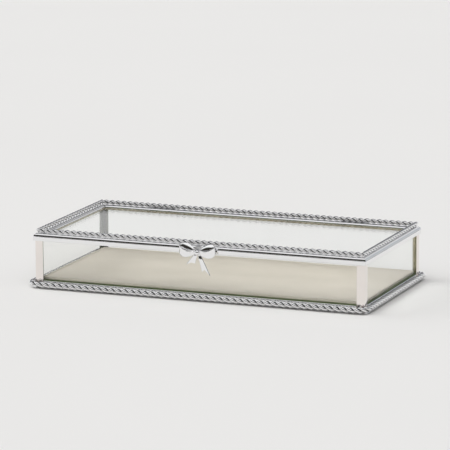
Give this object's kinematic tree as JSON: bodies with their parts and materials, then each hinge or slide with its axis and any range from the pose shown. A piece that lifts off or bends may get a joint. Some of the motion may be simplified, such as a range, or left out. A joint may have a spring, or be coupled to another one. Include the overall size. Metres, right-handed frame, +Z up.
{
  "type": "vanity trinket box",
  "caption": "Low rectangular glass trinket box with a chromed frame, rope trim, a hinged glass lid and a ribbon bow as its pull.",
  "frame": {"origin": "middle of the felt underside, on the surface that the box stands on", "axes": "+X along the length to the right as seen from the front, +Y from the bow at the front to the hinges at the back, +Z up"},
  "size_m": [0.2588, 0.1312, 0.0429],
  "materials": {
    "frame_chrome": "polished chrome plate on sheet metal",
    "rope_chrome": "polished chrome plate, slightly darkened between the strands",
    "bow_chrome": "polished chrome plate on a cast ribbon bow",
    "hinge_chrome": "plated, less polished than the frame",
    "clear_glass": "clear float glass with a faint green tint and ground edges",
    "floor_glass": "clear float glass, dark green at its cut edge",
    "liner_fabric": "greige velour, short matt pile",
    "base_felt": "pressed felt"
  },
  "bodies": {
    "case": {"base_felt": "base_felt", "base_plate": "frame_chrome", "base_rope_front": "rope_chrome", "base_rope_right": "rope_chrome", "base_rope_back": "rope_chrome", "base_rope_left": "rope_chrome", "floor_glass": "floor_glass", "floor_liner": "liner_fabric", "glass_front": "clear_glass", "glass_back": "clear_glass", "glass_left": "clear_glass", "glass_right": "clear_glass", "post_front_left": "frame_chrome", "post_front_right": "frame_chrome", "post_back_left": "frame_chrome", "post_back_right": "frame_chrome", "rail_front": "frame_chrome", "rail_right": "frame_chrome", "rail_back": "frame_chrome", "rail_left": "frame_chrome", "sill_front": "frame_chrome", "sill_right": "frame_chrome", "sill_back": "frame_chrome", "sill_left": "frame_chrome", "hinge_case_leaf_left": "hinge_chrome", "hinge_case_leaf_right": "hinge_chrome", "hinge_pin_left": "hinge_chrome", "hinge_pin_right": "hinge_chrome"},
    "lid": {"lid_frame_front": "frame_chrome", "lid_frame_right": "frame_chrome", "lid_frame_back": "frame_chrome", "lid_frame_left": "frame_chrome", "lid_glass": "clear_glass", "lid_rope_front": "rope_chrome", "lid_rope_right": "rope_chrome", "lid_rope_back": "rope_chrome", "lid_rope_left": "rope_chrome", "hinge_lid_leaf_left": "hinge_chrome", "hinge_lid_leaf_right": "hinge_chrome", "bow_tab": "hinge_chrome", "bow_knot": "bow_chrome", "bow_loop_left": "bow_chrome", "bow_loop_right": "bow_chrome", "bow_tail_left": "bow_chrome", "bow_tail_right": "bow_chrome"}
  },
  "joints": [
    {"name": "lid_hinge", "type": "hinge", "parent": "case", "child": "lid", "pos_m": [0, 0.0618, 0.0387], "axis": [-1, 0, 0], "range_deg": [0, 100]}
  ]
}
